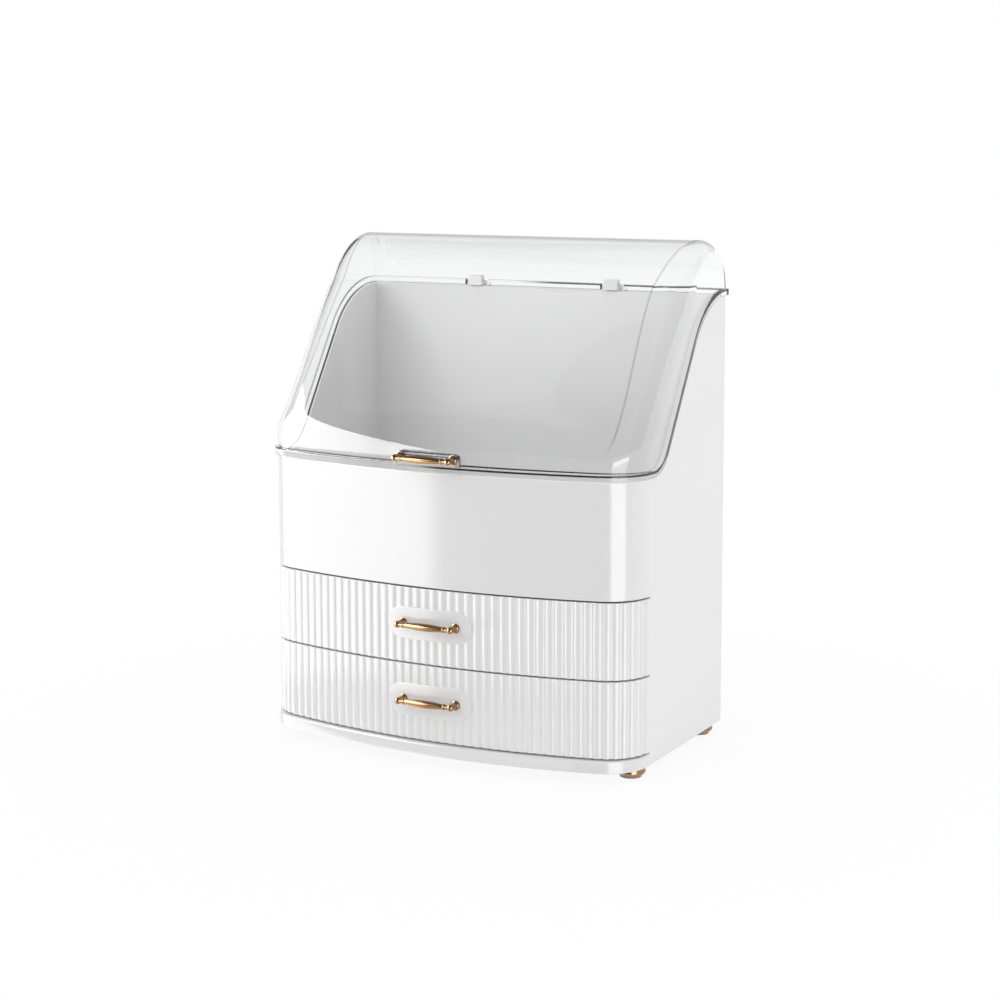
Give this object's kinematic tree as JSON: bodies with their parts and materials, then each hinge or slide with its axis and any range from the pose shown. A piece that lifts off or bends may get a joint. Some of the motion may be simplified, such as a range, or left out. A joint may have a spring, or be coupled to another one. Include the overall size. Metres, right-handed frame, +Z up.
{
  "type": "dustproof makeup organizer",
  "caption": "Countertop make-up organizer with a bow front, an open upper compartment under a clear hinged lid, and fluted pull-out drawers with bar handles.",
  "frame": {"origin": "middle of the bounding box at its lowest level, on the surface that the pads stand on", "axes": "+X to the right seen from in front, +Y to the back, +Z up"},
  "size_m": [0.315, 0.209, 0.3835],
  "materials": {
    "white_gloss": "gloss",
    "white_inner": "gloss",
    "clear_lid": "clear gloss",
    "rose_gold": "polished plate",
    "steel": "zinc plated",
    "pad_rubber": "matt"
  },
  "bodies": {
    "cabinet": {"housing": "white_gloss", "base_plate": "white_gloss", "drawer_shelf": "white_inner", "compartment_floor": "white_inner", "base_screws": "steel", "foot_front_left": "rose_gold", "foot_front_right": "rose_gold", "foot_rear_left": "rose_gold", "foot_rear_right": "rose_gold", "foot_pads": "pad_rubber", "foot_screws": "steel", "hinge_pin_left": "steel", "hinge_pin_right": "steel"},
    "lid": {"lid": "clear_lid", "hinge_clip_left": "white_inner", "hinge_clip_right": "white_inner", "lid_handle": "rose_gold", "lid_handle_screws": "steel"},
    "upper_drawer": {"upper_drawer_box": "white_inner", "upper_drawer_front": "white_gloss", "upper_drawer_handle": "rose_gold", "upper_drawer_screws": "steel"},
    "lower_drawer": {"lower_drawer_box": "white_inner", "lower_drawer_front": "white_gloss", "lower_drawer_handle": "rose_gold", "lower_drawer_screws": "steel"}
  },
  "joints": [
    {"name": "lid_hinge", "type": "hinge", "parent": "cabinet", "child": "lid", "pos_m": [0, 0.09935, 0.3408], "axis": [-1, 0, 0], "range_deg": [0, 115]},
    {"name": "upper_drawer_slide", "type": "slide", "parent": "cabinet", "child": "upper_drawer", "axis": [0, -1, 0], "range_m": [0, 0.12]},
    {"name": "lower_drawer_slide", "type": "slide", "parent": "cabinet", "child": "lower_drawer", "axis": [0, -1, 0], "range_m": [0, 0.12]}
  ]
}
